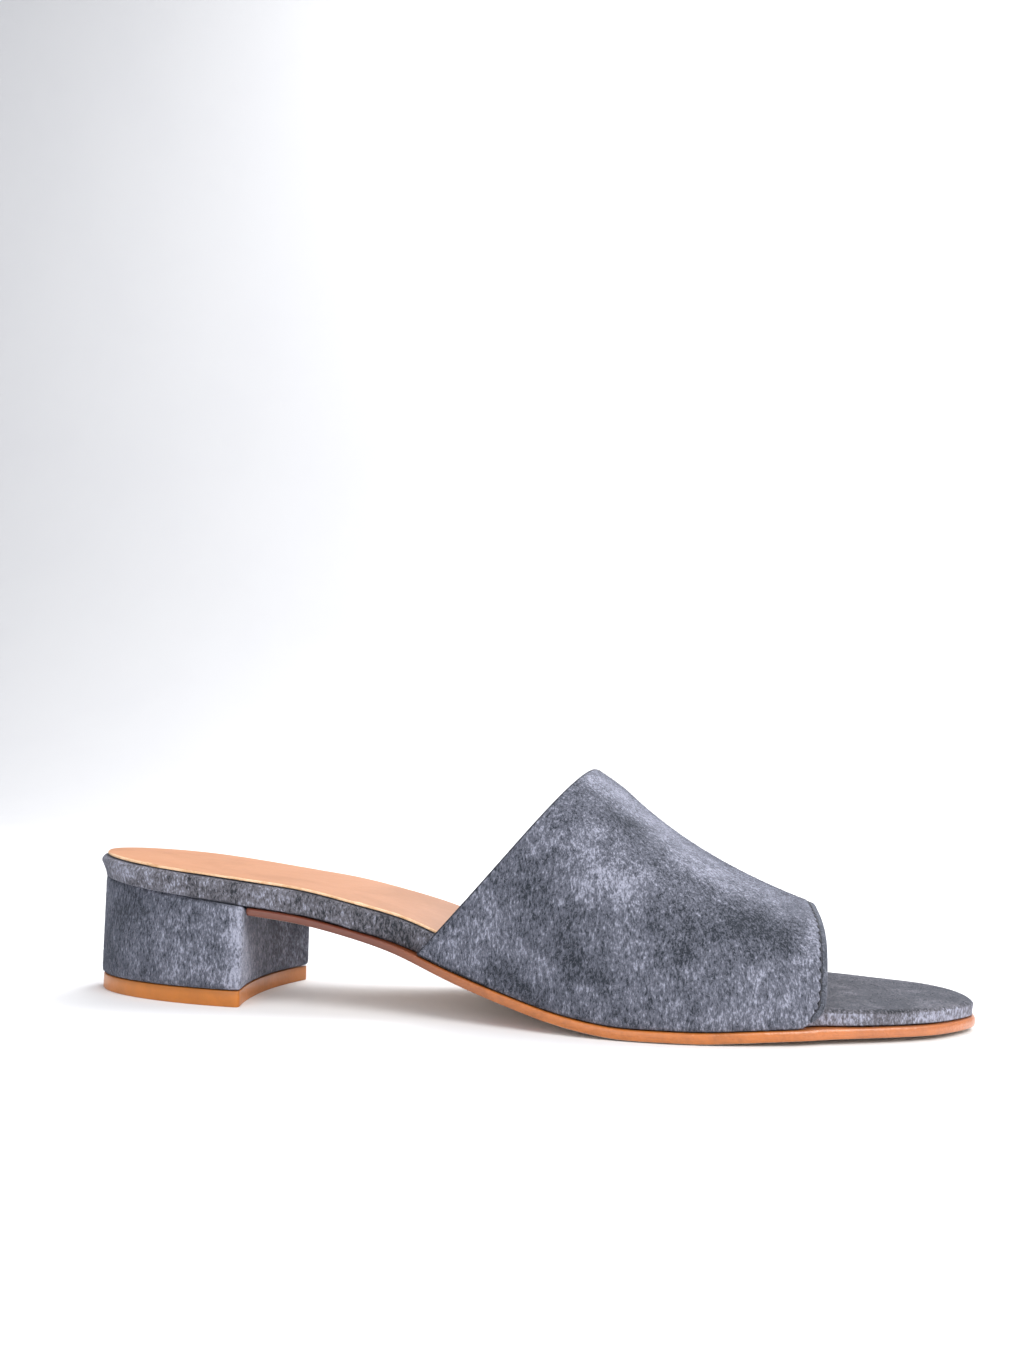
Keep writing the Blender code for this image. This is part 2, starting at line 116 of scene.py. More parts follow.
# On the footbed's rim, partly brushed nap and partly painted light: a lighter patch, and painted
# shade darkening its back.
FOOTBED_NAP_AND_LIGHT = (
    TonePatch(-0.0115, 0.0355, 0.0055, 0.0018, -7, 0.60),
    TonePatch(-0.0250, 0.0360, 0.0090, 0.0060, 0, -0.60),
    TonePatch(0.0720, 0.0200, 0.0080, 0.0040, -15, -0.50),
)
# On the heel block, painted light: a painted highlight down the breast corner and painted shade over
# the back.
HEEL_PAINTED_LIGHT = (
    TonePatch(0.0258, 0.0180, 0.0026, 0.0400, 0, 0.95),
    TonePatch(-0.0240, 0.0200, 0.0110, 0.0300, 0, -0.55),
    TonePatch(0.0050, 0.0260, 0.0080, 0.0040, -10, -0.25),
)

# Soft creases of the vamp, as long shallow troughs and ridges: place, half sizes, slope, rise.
Crease = namedtuple("Crease", "x z length width slope rise")
UPPER_CREASES = (
    Crease(0.1480, 0.0410, 0.0120, 0.0018, -32, 0.00028),
    Crease(0.1450, 0.0375, 0.0120, 0.0020, -34, -0.00026),
    Crease(0.1380, 0.0430, 0.0060, 0.0016, -60, -0.00020),
    Crease(0.1640, 0.0290, 0.0080, 0.0022, -24, -0.00018),
    Crease(0.1100, 0.0330, 0.0090, 0.0030, 48, -0.00016),
)


class MuleColours(bpy.types.PropertyGroup):
    """Colours of the mule's suede, leathers, rubber and floor."""

    suede_dark: bpy.props.FloatVectorProperty(
        name="Suede shade", description="Nap brushed away from the light",
        subtype="COLOR", size=3, min=0, max=1, default=(0.022, 0.026, 0.034))
    suede_mid: bpy.props.FloatVectorProperty(
        name="Suede", description="Nap at rest",
        subtype="COLOR", size=3, min=0, max=1, default=(0.098, 0.104, 0.132))
    suede_light: bpy.props.FloatVectorProperty(
        name="Suede bloom", description="Nap brushed towards the light",
        subtype="COLOR", size=3, min=0, max=1, default=(0.34, 0.35, 0.43))
    lining: bpy.props.FloatVectorProperty(
        name="Lining", description="Brown leather inside the upper",
        subtype="COLOR", size=3, min=0, max=1, default=(0.075, 0.040, 0.024))
    sock: bpy.props.FloatVectorProperty(
        name="Sock", description="Tan leather under the foot",
        subtype="COLOR", size=3, min=0, max=1, default=(0.44, 0.170, 0.055))
    sole_edge: bpy.props.FloatVectorProperty(
        name="Sole edge", description="Burnished edge at the ball",
        subtype="COLOR", size=3, min=0, max=1, default=(0.50, 0.150, 0.026))
    # Darker burnish at the waist, with painted shade in it.
    sole_waist: bpy.props.FloatVectorProperty(
        name="Sole waist", description="Burnished edge at the waist",
        subtype="COLOR", size=3, min=0, max=1, default=(0.115, 0.022, 0.006))
    sole_under: bpy.props.FloatVectorProperty(
        name="Underside", description="Natural sole leather",
        subtype="COLOR", size=3, min=0, max=1, default=(0.58, 0.43, 0.32))
    top_piece: bpy.props.FloatVectorProperty(
        name="Top piece", description="Amber rubber under the heel",
        subtype="COLOR", size=3, min=0, max=1, default=(0.52, 0.165, 0.016))
    thread: bpy.props.FloatVectorProperty(
        name="Thread", description="Stitches of the front edge",
        subtype="COLOR", size=3, min=0, max=1, default=(0.020, 0.021, 0.026))
    floor: bpy.props.FloatVectorProperty(
        name="Floor", description="Pale floor and backdrop",
        subtype="COLOR", size=3, min=0, max=1, default=(0.84, 0.84, 0.85))


class MuleSizes(bpy.types.PropertyGroup):
    """Sizes of the mule's fine work."""

    stitch_pitch: bpy.props.FloatProperty(
        name="Stitch pitch", description="Distance from one stitch to the next",
        default=0.0027, min=0.001, max=0.006, unit="LENGTH")
    stitch_inset: bpy.props.FloatProperty(
        name="Stitch inset", description="Distance of the stitches from the front edge",
        default=0.0019, min=0.001, max=0.005, unit="LENGTH")
    thread_width: bpy.props.FloatProperty(
        name="Thread width", description="Thickness of the thread",
        default=0.00042, min=0.0001, max=0.001, unit="LENGTH")
    groove_depth: bpy.props.FloatProperty(
        name="Groove depth", description="How far the stitches pull the suede in",
        default=0.00035, min=0, max=0.001, unit="LENGTH")
    fibre_length: bpy.props.FloatProperty(
        name="Fibre length", description="Length of the suede's fibres",
        default=0.00075, min=0.0002, max=0.002, unit="LENGTH")
    fibre_width: bpy.props.FloatProperty(
        name="Fibre width", description="Width of a fibre at its root",
        default=0.00007, min=0.00002, max=0.0002, unit="LENGTH")


def add(tree, kind, values=None, **settings):
    """A node with its settings, and its inputs set to values or linked to sockets."""
    node = tree.nodes.new(kind)
    for name, value in settings.items():
        setattr(node, name, value)
    for name, value in (values or {}).items():
        if isinstance(value, bpy.types.NodeSocket):
            tree.links.new(value, node.inputs[name])
        else:
            node.inputs[name].default_value = value
    return node


def calc(tree, operation, *values, clamp=False):
    """The output of one Math node."""
    node = add(tree, "ShaderNodeMath", dict(enumerate(values)), operation=operation)
    node.use_clamp = clamp
    return node.outputs[0]


def between(tree, value, low, high):
    """0 at low and 1 at high, with a smooth change."""
    values = {"Value": value, "From Min": low, "From Max": high}
    node = add(tree, "ShaderNodeMapRange", values, interpolation_type="SMOOTHSTEP")
    return node.outputs[0]


def mixed(tree, share, first, second):
    """A colour between two others."""
    node = add(tree, "ShaderNodeMix", data_type="RGBA")
    for name, value in (("Factor_Float", share), ("A_Color", first), ("B_Color", second)):
        socket = next(s for s in node.inputs if s.identifier == name)
        if isinstance(value, bpy.types.NodeSocket):
            tree.links.new(value, socket)
        else:
            socket.default_value = value
    return next(s for s in node.outputs if s.identifier == "Result_Color")


def noise(tree, vector, scale, detail=2.0, roughness=0.5, distortion=0.0):
    """The value of one Noise Texture node."""
    values = {"Vector": vector, "Scale": scale, "Detail": detail}
    values |= {"Roughness": roughness, "Distortion": distortion}
    return add(tree, "ShaderNodeTexNoise", values).outputs[0]


def new_group(name, inputs, outputs):
    """An empty node group with its named sockets, and its input and output nodes."""
    tree = bpy.data.node_groups.new(name, "ShaderNodeTree")
    for label, kind, value in inputs:
        socket = tree.interface.new_socket(label, in_out="INPUT", socket_type=kind)
        if value is not None:
            socket.default_value = value
    for label, kind in outputs:
        tree.interface.new_socket(label, in_out="OUTPUT", socket_type=kind)
    return tree, tree.nodes.new("NodeGroupInput"), tree.nodes.new("NodeGroupOutput")


def make_suede_nap():
    """Node group: brushed patches and short fibres of suede, shifted lighter or darker by the given
    patches of brushed nap and of painted light and shade.
    """
    tree, given, result = new_group(
        "suede_nap",
        (
            ("Vector", "NodeSocketVector", None),
            ("Brush", "NodeSocketFloat", 0.0),
            ("Patch Size", "NodeSocketFloat", 0.020),
            ("Fibre Size", "NodeSocketFloat", 0.0007),
            ("Dark", "NodeSocketColor", (0.02, 0.02, 0.03, 1)),
            ("Mid", "NodeSocketColor", (0.1, 0.1, 0.13, 1)),
            ("Light", "NodeSocketColor", (0.3, 0.3, 0.4, 1)),
        ),
        (("Color", "NodeSocketColor"), ("Height", "NodeSocketFloat"),
         ("Roughness", "NodeSocketFloat")),
    )
    vector = given.outputs["Vector"]
    patch_scale = calc(tree, "DIVIDE", 1.0, given.outputs["Patch Size"])
    fibre_scale = calc(tree, "DIVIDE", 1.0, given.outputs["Fibre Size"])
    mottle_scale = calc(tree, "MULTIPLY", patch_scale, 4.5)
    salt_scale = calc(tree, "MULTIPLY", fibre_scale, 2.1)
    brushed = add(tree, "ShaderNodeMapping", {"Vector": vector, "Rotation": (0.2, 0.55, 0.1),
                                              "Scale": (1.0, 1.0, 0.42)}).outputs[0]
    patch = noise(tree, vector, patch_scale, 3.0, 0.55, 0.6)
    mottle = noise(tree, vector, mottle_scale, 3.0, 0.6, 0.3)
    fibre = noise(tree, brushed, fibre_scale, 2.0, 0.6)
    salt = noise(tree, brushed, salt_scale, 1.0, 0.6)
    # The given patches add brushed nap and painted light and shade to the tone.
    value = calc(tree, "MULTIPLY_ADD", given.outputs["Brush"], 0.30, 0.46)
    for source, gain in ((patch, 0.85), (mottle, 0.75), (fibre, 1.25), (salt, 0.95)):
        centred = calc(tree, "SUBTRACT", source, 0.5)
        value = calc(tree, "MULTIPLY_ADD", centred, gain, value)
    lower = between(tree, value, 0.10, 0.50)
    upper = between(tree, value, 0.46, 1.02)
    colour = mixed(tree, lower, given.outputs["Dark"], given.outputs["Mid"])
    colour = mixed(tree, upper, colour, given.outputs["Light"])
    height = calc(tree, "MULTIPLY_ADD", salt, 0.5, fibre)
    tree.links.new(colour, result.inputs["Color"])
    tree.links.new(height, result.inputs["Height"])
    tree.links.new(calc(tree, "MULTIPLY_ADD", fibre, 0.2, 0.8), result.inputs["Roughness"])
    return tree


def make_leather_grain():
    """Node group: pores, soft clouds and fine scuffs of smooth leather."""
    tree, given, result = new_group(
        "leather_grain",
        (
            ("Vector", "NodeSocketVector", None),
            ("Grain Size", "NodeSocketFloat", 0.0009),
            ("Cloud Size", "NodeSocketFloat", 0.025),
            ("Colour", "NodeSocketColor", (0.4, 0.2, 0.1, 1)),
            ("Shade", "NodeSocketColor", (0.3, 0.1, 0.05, 1)),
            ("Gloss", "NodeSocketFloat", 0.5),
        ),
        (("Color", "NodeSocketColor"), ("Height", "NodeSocketFloat"),
         ("Roughness", "NodeSocketFloat")),
    )
    vector = given.outputs["Vector"]
    grain_scale = calc(tree, "DIVIDE", 1.0, given.outputs["Grain Size"])
    cloud_scale = calc(tree, "DIVIDE", 1.0, given.outputs["Cloud Size"])
    pores = add(tree, "ShaderNodeTexVoronoi", {"Vector": vector, "Scale": grain_scale})
    cloud = noise(tree, vector, cloud_scale, 4.0, 0.6, 0.5)
    fine = noise(tree, vector, calc(tree, "MULTIPLY", grain_scale, 0.6), 3.0, 0.6)
    share = between(tree, calc(tree, "MULTIPLY_ADD", fine, 0.35, cloud), 0.50, 0.95)
    colour = mixed(tree, share, given.outputs["Colour"], given.outputs["Shade"])
    height = calc(tree, "MULTIPLY_ADD", fine, 0.6, pores.outputs["Distance"])
    rough = calc(tree, "MULTIPLY_ADD", cloud, 0.25, given.outputs["Gloss"])
    tree.links.new(colour, result.inputs["Color"])
    tree.links.new(height, result.inputs["Height"])
    tree.links.new(calc(tree, "SUBTRACT", rough, 0.12), result.inputs["Roughness"])
    return tree


def make_stitch_row():
    """Node group: masks of the pulled-in notches of a stitch row and of the straight cut strip
    beside it, both darkened as painted shade.
    """
    tree, given, result = new_group(
        "stitch_row",
        (
            ("Arc", "NodeSocketFloat", 0.0),
            ("Behind", "NodeSocketFloat", 1.0),
            ("Pitch", "NodeSocketFloat", 0.0027),
            ("Inset", "NodeSocketFloat", 0.0019),
        ),
        (("Notch", "NodeSocketFloat"), ("Strip", "NodeSocketFloat")),
    )
    behind = given.outputs["Behind"]
    inset = given.outputs["Inset"]
    turn = calc(tree, "FRACT", calc(tree, "DIVIDE", given.outputs["Arc"], given.outputs["Pitch"]))
    away = calc(tree, "ABSOLUTE", calc(tree, "SUBTRACT", turn, 0.5))
    peak = calc(tree, "MULTIPLY_ADD", away, -3.4, 1.0, clamp=True)
    reach = calc(tree, "MULTIPLY_ADD", peak, 0.00075, calc(tree, "SUBTRACT", inset, 0.00012))
    front = between(tree, calc(tree, "SUBTRACT", behind, inset), -0.00055, -0.00030)
    back = between(tree, calc(tree, "SUBTRACT", reach, behind), -0.00008, 0.00018)
    strip = between(tree, calc(tree, "SUBTRACT", inset, behind), 0.00020, 0.00050)
    tree.links.new(calc(tree, "MULTIPLY", front, back), result.inputs["Notch"])
    tree.links.new(strip, result.inputs["Strip"])
    return tree


def place_group(tree, maker, values):
    """One of the shared groups, built once, with its inputs set or linked."""
    name = maker.__name__.removeprefix("make_")
    group = bpy.data.node_groups.get(name) or maker()
    node = add(tree, "ShaderNodeGroup", node_tree=group)
    for name, value in values.items():
        if isinstance(value, bpy.types.NodeSocket):
            tree.links.new(value, node.inputs[name])
        else:
            node.inputs[name].default_value = value
    return node


def new_material(name):
    """A material with its tree, its shader and the piece's own coordinates."""
    finish = bpy.data.materials.new(name)
    finish.use_nodes = True
    tree = finish.node_tree
    shader = tree.nodes["Principled BSDF"]
    place = add(tree, "ShaderNodeTexCoord").outputs["Object"]
    return finish, tree, shader, place


def attribute(tree, name):
    """A number that the piece holds at each of its points."""
    return add(tree, "ShaderNodeAttribute", attribute_name=name).outputs["Fac"]


def bump(tree, shader, height, strength, distance):
    """Feeds a height to the shader's normal."""
    values = {"Height": height, "Strength": strength, "Distance": distance}
    node = add(tree, "ShaderNodeBump", values)
    tree.links.new(node.outputs["Normal"], shader.inputs["Normal"])


def opaque(colour):
    """A colour property as a socket's four numbers."""
    return (*colour, 1.0)


def suede(name, warm=0.0):
    """Brushed suede with the soft bloom of its nap."""
    colours = bpy.context.scene.mule_colours
    finish, tree, shader, place = new_material(name)
    tint = Vector((1 + warm, 1.0, 1 - warm))
    dark = [c * t for c, t in zip(colours.suede_dark, tint)]
    mid = [c * t for c, t in zip(colours.suede_mid, tint)]
    nap = place_group(tree, make_suede_nap, {
        "Vector": place,
        # Patches of brushed nap and of painted light and shade, stored on the piece.
        "Brush": attribute(tree, "brush"),
        "Patch Size": 0.020,
        "Fibre Size": 0.00072,
        "Dark": opaque(dark),
        "Mid": opaque(mid),
        "Light": opaque(colours.suede_light),
    })
    shader.inputs["Sheen Weight"].default_value = 0.28
    shader.inputs["Sheen Roughness"].default_value = 0.42
    shader.inputs["Sheen Tint"].default_value = (0.72, 0.75, 0.90, 1)
    shader.inputs["Specular IOR Level"].default_value = 0.12
    return finish, tree, shader, nap


def footbed_suede():
    """Suede of the wrapped footbed and its toe platform."""
    finish, tree, shader, nap = suede("footbed_suede", 0.10)
    tree.links.new(nap.outputs["Color"], shader.inputs["Base Color"])
    tree.links.new(nap.outputs["Roughness"], shader.inputs["Roughness"])
    bump(tree, shader, nap.outputs["Height"], 0.55, 0.0005)
    return finish


def heel_suede():
    """Suede stretched round the heel block."""
    finish, tree, shader, nap = suede("heel_suede")
    tree.links.new(nap.outputs["Color"], shader.inputs["Base Color"])
    tree.links.new(nap.outputs["Roughness"], shader.inputs["Roughness"])
    bump(tree, shader, nap.outputs["Height"], 0.6, 0.0005)
    return finish


def upper_suede():
    """Suede of the band, with the stitch row of its front edge, whose notches and strip are darkened
    with painted shade.
    """
    colours = bpy.context.scene.mule_colours
    sizes = bpy.context.scene.mule_sizes
    finish, tree, shader, nap = suede("upper_suede")
    row = place_group(tree, make_stitch_row, {
        "Arc": attribute(tree, "arc"),
        "Behind": attribute(tree, "behind"),
        "Pitch": sizes.stitch_pitch,
        "Inset": sizes.stitch_inset,
    })
    # Painted shade on the strip turned over ahead of the stitches.
    strip = calc(tree, "MULTIPLY", row.outputs["Strip"], 0.62)
    colour = mixed(tree, strip, nap.outputs["Color"], (0.036, 0.041, 0.047, 1))
    # Painted shade in the stitch notches, in the thread's colour.
    colour = mixed(tree, row.outputs["Notch"], colour, opaque(colours.thread))
    rim = between(tree, attribute(tree, "collar"), 0.00055, 0.00020)
    colour = mixed(tree, rim, colour, (0.020, 0.022, 0.027, 1))
    tree.links.new(colour, shader.inputs["Base Color"])
    tree.links.new(nap.outputs["Roughness"], shader.inputs["Roughness"])
    height = calc(tree, "MULTIPLY_ADD", row.outputs["Notch"], -1.6, nap.outputs["Height"])
    bump(tree, shader, height, 0.6, 0.0005)
    return finish


def grained(name, colour, shade, grain, cloud, gloss, strength):
    """Smooth leather with a fine grain."""
    finish, tree, shader, place = new_material(name)
    grain_node = place_group(tree, make_leather_grain, {
        "Vector": place,
        "Grain Size": grain,
        "Cloud Size": cloud,
        "Colour": opaque(colour),
        "Shade": opaque(shade),
        "Gloss": gloss,
    })
    tree.links.new(grain_node.outputs["Color"], shader.inputs["Base Color"])
    tree.links.new(grain_node.outputs["Roughness"], shader.inputs["Roughness"])
    bump(tree, shader, grain_node.outputs["Height"], strength, 0.0003)
    return finish, tree, shader, place, grain_node.outputs["Color"]


def darker(colour, share):
    """A colour scaled towards black."""
    return [c * share for c in colour]


def lining_leather():
    """Brown leather inside the band."""
    colour = bpy.context.scene.mule_colours.lining
    return grained("lining_leather", colour, darker(colour, 0.6), 0.0008, 0.02, 0.6, 0.25)[0]


def raw_edge(name, colour, shade):
    """Cut edge of suede or leather, with a fine grain."""
    return grained(name, colour, shade, 0.0004, 0.004, 0.85, 0.6)[0]


def sock_leather():
    """Tan leather of the sock, darker at the waist and towards the toe."""
    colour = bpy.context.scene.mule_colours.sock
    finish, tree, shader, place, grain = grained(
        "sock_leather", colour, darker(colour, 0.80), 0.0010, 0.035, 0.50, 0.16)
    along = add(tree, "ShaderNodeSeparateXYZ", {"Vector": place}).outputs["X"]
    share = calc(tree, "MULTIPLY", between(tree, along, 0.0, 0.12), 0.45)
    deep = mixed(tree, share, grain, opaque(darker(colour, 0.42)))
    tree.links.new(deep, shader.inputs["Base Color"])
    shader.inputs["Coat Weight"].default_value = 0.08
    shader.inputs["Coat Roughness"].default_value = 0.35
    return finish


def burnished_edge():
    """Waxed edge of the outsole: dark at the waist, partly burnish and partly painted shade, amber
    at the ball, redder at the toe.
    """
    colours = bpy.context.scene.mule_colours
    finish, tree, shader, place, grain = grained(
        "burnished_edge", colours.sole_edge, darker(colours.sole_edge, 0.72), 0.0007, 0.006,
        0.36, 0.35)
    parts = add(tree, "ShaderNodeSeparateXYZ", {"Vector": place})
    along = parts.outputs["X"]
    # Darker towards the waist: partly burnish, partly painted shade.
    waist = between(tree, along, 0.115, 0.060)
    toe = calc(tree, "MULTIPLY", between(tree, along, 0.155, 0.20), 0.45)
    colour = mixed(tree, toe, grain, (0.44, 0.145, 0.060, 1))
    colour = mixed(tree, waist, colour, opaque(colours.sole_waist))
    streak = add(tree, "ShaderNodeMapping", {"Vector": place, "Scale": (1, 1, 9)}).outputs[0]
    lines = between(tree, noise(tree, streak, 260.0, 3.0, 0.6), 0.48, 0.72)
    colour = mixed(tree, calc(tree, "MULTIPLY", lines, 0.30), colour, (0.20, 0.05, 0.012, 1))
    tree.links.new(colour, shader.inputs["Base Color"])
    shader.inputs["Coat Weight"].default_value = 0.45
    shader.inputs["Coat Roughness"].default_value = 0.28
    return finish


def sole_leather():
    """Natural underside of the outsole, with light scuffs at the ball."""
    colour = bpy.context.scene.mule_colours.sole_under
    finish, tree, shader, place, grain = grained(
        "sole_leather", colour, darker(colour, 0.82), 0.0012, 0.030, 0.55, 0.2)
    stretched = add(tree, "ShaderNodeMapping", {"Vector": place, "Scale": (0.25, 1, 1)})
    scuffs = noise(tree, stretched.outputs[0], 420.0, 4.0, 0.65)
    share = calc(tree, "MULTIPLY", between(tree, scuffs, 0.58, 0.72), 0.35)
    marked = mixed(tree, share, grain, opaque(darker(colour, 0.55)))
    tree.links.new(marked, shader.inputs["Base Color"])
    return finish


def amber_rubber():
    """Slightly clear amber rubber of the top piece, with painted shadow darkening it towards its top
    edge.
    """
    colour = bpy.context.scene.mule_colours.top_piece
    finish, tree, shader, place, grain = grained(
        "amber_rubber", colour, darker(colour, 0.80), 0.0016, 0.010, 0.42, 0.12)
    height = add(tree, "ShaderNodeSeparateXYZ", {"Vector": place}).outputs["Z"]
    # Painted shadow under the heel block, darker towards the top edge.
    top = calc(tree, "MULTIPLY", between(tree, height, 0.0026, 0.0043), 0.40)
    shaded = mixed(tree, top, grain, opaque(darker(colour, 0.45)))
    tree.links.new(shaded, shader.inputs["Base Color"])
    shader.inputs["Subsurface Weight"].default_value = 0.12
    shader.inputs["Subsurface Radius"].default_value = (0.004, 0.0015, 0.0005)
    shader.inputs["Subsurface Scale"].default_value = 0.6
    shader.inputs["Coat Weight"].default_value = 0.15
    return finish


def fibre_suede():
    """The suede's loose fibres, each with its own tone, partly random and partly painted light and
    shade.
    """
    colours = bpy.context.scene.mule_colours
    finish, tree, shader, _ = new_material("fibre_suede")
    shade = attribute(tree, "shade")
    colour = mixed(tree, shade, opaque(colours.suede_dark), opaque(colours.suede_light))
    tree.links.new(colour, shader.inputs["Base Color"])
    shader.inputs["Roughness"].default_value = 0.9
    shader.inputs["Specular IOR Level"].default_value = 0.1
    return finish


def plain_thread():
    """Dark twisted thread."""
    colours = bpy.context.scene.mule_colours
    finish, tree, shader, place = new_material("plain_thread")
    twist = add(tree, "ShaderNodeTexWave", {"Vector": place, "Scale": 900.0, "Distortion": 1.0})
    colour = mixed(tree, twist.outputs["Fac"], opaque(colours.thread), (0.06, 0.062, 0.072, 1))
    tree.links.new(colour, shader.inputs["Base Color"])
    shader.inputs["Roughness"].default_value = 0.7
    bump(tree, shader, twist.outputs["Fac"], 0.4, 0.0001)
    return finish


def copy_of(node):
    """A solid's mesh, merged and put back into four-sided faces, with its corners marked."""
    bm = bmesh.new()
    bm.from_mesh(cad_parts[node].data)
    bmesh.ops.remove_doubles(bm, verts=bm.verts, dist=MERGE_DISTANCE)
    bmesh.ops.join_triangles(
        bm, faces=bm.faces, angle_face_threshold=math.radians(30),
        angle_shape_threshold=math.radians(70))
    crease = bm.edges.layers.float.new("crease_edge")
    for edge in bm.edges:
        if len(edge.link_faces) == 2 and edge.calc_face_angle() > SHARP_ANGLE:
            edge[crease] = SHARP_CREASE
    for face in bm.faces:
        face.smooth = True
    return bm


def spread(start):
    """The faces reached from one face without crossing a corner."""
    found = {start}
    waiting = [start]
    while waiting:
        face = waiting.pop()
        for edge in face.edges:
            if len(edge.link_faces) != 2 or edge.calc_face_angle() > SHARP_ANGLE:
                continue
            for other in edge.link_faces:
                if other not in found:
                    found.add(other)
                    waiting.append(other)
    return found


def add_piece(name, mesh, finishes):
    """A new object with its materials, linked to the scene."""
    piece = bpy.data.objects.new(name, mesh)
    for finish in finishes:
        mesh.materials.append(finish)
    bpy.context.scene.collection.objects.link(piece)
    return piece


def refined(bm, name, finishes, levels=2):
    """The copy as an object, with its subdivision worked into its mesh."""
    rough = bpy.data.meshes.new(name + "_rough")
    bm.to_mesh(rough)
    bm.free()
    piece = add_piece(name, rough, finishes)
    surface = piece.modifiers.new("surface", "SUBSURF")
    surface.levels = levels
    surface.render_levels = levels
    graph = bpy.context.evaluated_depsgraph_get()
    fine = bpy.data.meshes.new_from_object(piece.evaluated_get(graph))
    fine.name = name
    piece.modifiers.clear()
    piece.data = fine
    bpy.data.meshes.remove(rough)
    return piece


def points_of(mesh):
    """The mesh's points and normals as arrays."""
    count = len(mesh.vertices)
    points = np.empty(count * 3)
    mesh.vertices.foreach_get("co", points)
    normals = np.empty(count * 3)
    mesh.vertex_normals.foreach_get("vector", normals)
    return points.reshape(-1, 3), normals.reshape(-1, 3)


def blot(points, patch):
    """How strongly a sloping soft patch of the side view covers each point."""
    slope = math.radians(patch.slope)
    ahead = points[:, 0] - patch.x
    up = points[:, 2] - patch.z
    along = (ahead * math.cos(slope) + up * math.sin(slope)) / patch.length
    across = (up * math.cos(slope) - ahead * math.sin(slope)) / patch.width
    return np.exp(-(along**2) - across**2)


def brush_nap(mesh, strokes, shade=None):
    """Stores the patches of brushed nap and of painted light and shade, at half strength on the
    inner side.
    """
    points, _ = points_of(mesh)
    value = np.zeros(len(points)) if shade is None else shade
    side = np.clip(0.75 - points[:, 1] / 0.04, 0.4, 1)
    for stroke in strokes:
        value = value + stroke.shade * blot(points, stroke) * side
    layer = mesh.attributes.new("brush", "FLOAT", "POINT")
    layer.data.foreach_set("value", np.clip(value, -1, 1).astype(np.float32))


def finish_piece(piece, node):
    """Puts the piece on the shoe in the solid's place."""
    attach(piece, "root")
    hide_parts(node)


def ordered_edge(mesh, first, second, lowest=0.0):
    """Points along the line where two materials meet above a height, in order."""
    keys = {}
    for face in mesh.polygons:
        if face.material_index in (first, second):
            for key in face.edge_keys:
                keys.setdefault(key, set()).add(face.material_index)
    links = {}
    for (a, b), kinds in keys.items():
        height = 0.5 * (mesh.vertices[a].co.z + mesh.vertices[b].co.z)
        if kinds == {first, second} and height > lowest:
            links.setdefault(a, []).append(b)
            links.setdefault(b, []).append(a)
    ends = [v for v, near in links.items() if len(near) == 1]
    chain = [min(ends, key=lambda v: mesh.vertices[v].co.y)]
    seen = set(chain)
    while True:
        ahead = [v for v in links[chain[-1]] if v not in seen]
        if not ahead:
            return chain
        chain.append(ahead[0])
        seen.add(ahead[0])


def nearest_on_line(points, line):
    """For each point its distance to a line of points, and the length walked to there."""
    walked = np.concatenate([[0], np.cumsum(np.linalg.norm(np.diff(line, axis=0), axis=1))])
    distance = np.full(len(points), 1.0)
    arc = np.zeros(len(points))
    for start, end, length in zip(line, line[1:], walked):
        run = end - start
        share = np.clip(((points - start) @ run) / max(run @ run, 1e-18), 0, 1)
        gap = np.linalg.norm(points - start - share[:, None] * run, axis=1)
        closer = gap < distance
        distance[closer] = gap[closer]
        arc[closer] = length + share[closer] * np.linalg.norm(run)
    return distance, arc


def upper_sides(bm):
    """Tells the band's outer face, its lining and its two cut edges apart by material."""
    bm.normal_update()
    crest = max(bm.faces, key=lambda face: face.normal.z + 10 * face.calc_center_median().z)
    outside = spread(crest)
    vault = min(bm.faces, key=lambda face: face.normal.z - 10 * face.calc_center_median().z)
    inside = spread(vault)
    for face in bm.faces:
        if face in outside:
            face.material_index = SUEDE_SIDE
        elif face in inside:
            face.material_index = LINING_SIDE
        else:
            face.material_index = FRONT_CUT if face.normal.x > 0.3 else COLLAR_CUT


def store(mesh, name, values):
    """Keeps one number for each point."""
    layer = mesh.attributes.new(name, "FLOAT", "POINT")
    layer.data.foreach_set("value", values.astype(np.float32))


class MULE_OT_upper(bpy.types.Operator):
    """Suede band with its lining, cut edges, creases and the groove of its stitches"""

    bl_idname = "mule.upper"
    bl_label = "Upper"

    def execute(self, context):
        sizes = context.scene.mule_sizes
        bm = copy_of("upper")
        upper_sides(bm)
        pale = raw_edge("cut_suede", (0.36, 0.36, 0.39), (0.16, 0.16, 0.18))
        dark = raw_edge("dyed_edge", (0.030, 0.032, 0.038), (0.016, 0.016, 0.020))
        piece = refined(bm, "upper_suede", [upper_suede(), lining_leather(), pale, dark])
        mesh = piece.data
        points, normals = points_of(mesh)
        front = ordered_edge(mesh, SUEDE_SIDE, FRONT_CUT)
        collar = ordered_edge(mesh, SUEDE_SIDE, COLLAR_CUT, COLLAR_LOWEST)
        behind, arc = nearest_on_line(points, points[front])
        rim, _ = nearest_on_line(points, points[collar])
        outer = np.zeros(len(points), bool)
        for face in mesh.polygons:
            if face.material_index == SUEDE_SIDE:
                outer[list(face.vertices)] = True
        push = np.zeros(len(points))
        for crease in UPPER_CREASES:
            push += crease.rise * blot(points, crease) * np.clip(0.5 - points[:, 1] / 0.02, 0, 1)
        push -= sizes.groove_depth * np.exp(-((behind - sizes.stitch_inset) / 0.0006) ** 2)
        push[~outer] = 0
        points += normals * push[:, None]
        mesh.vertices.foreach_set("co", points.ravel())
        store(mesh, "behind", behind)
        store(mesh, "arc", arc)
        store(mesh, "collar", rim)
        # Brushed nap with painted highlight and painted shade, from the vamp's patches.
        brush_nap(mesh, UPPER_NAP_AND_LIGHT)
        mesh.update()
        finish_piece(piece, "upper")
        return {"FINISHED"}


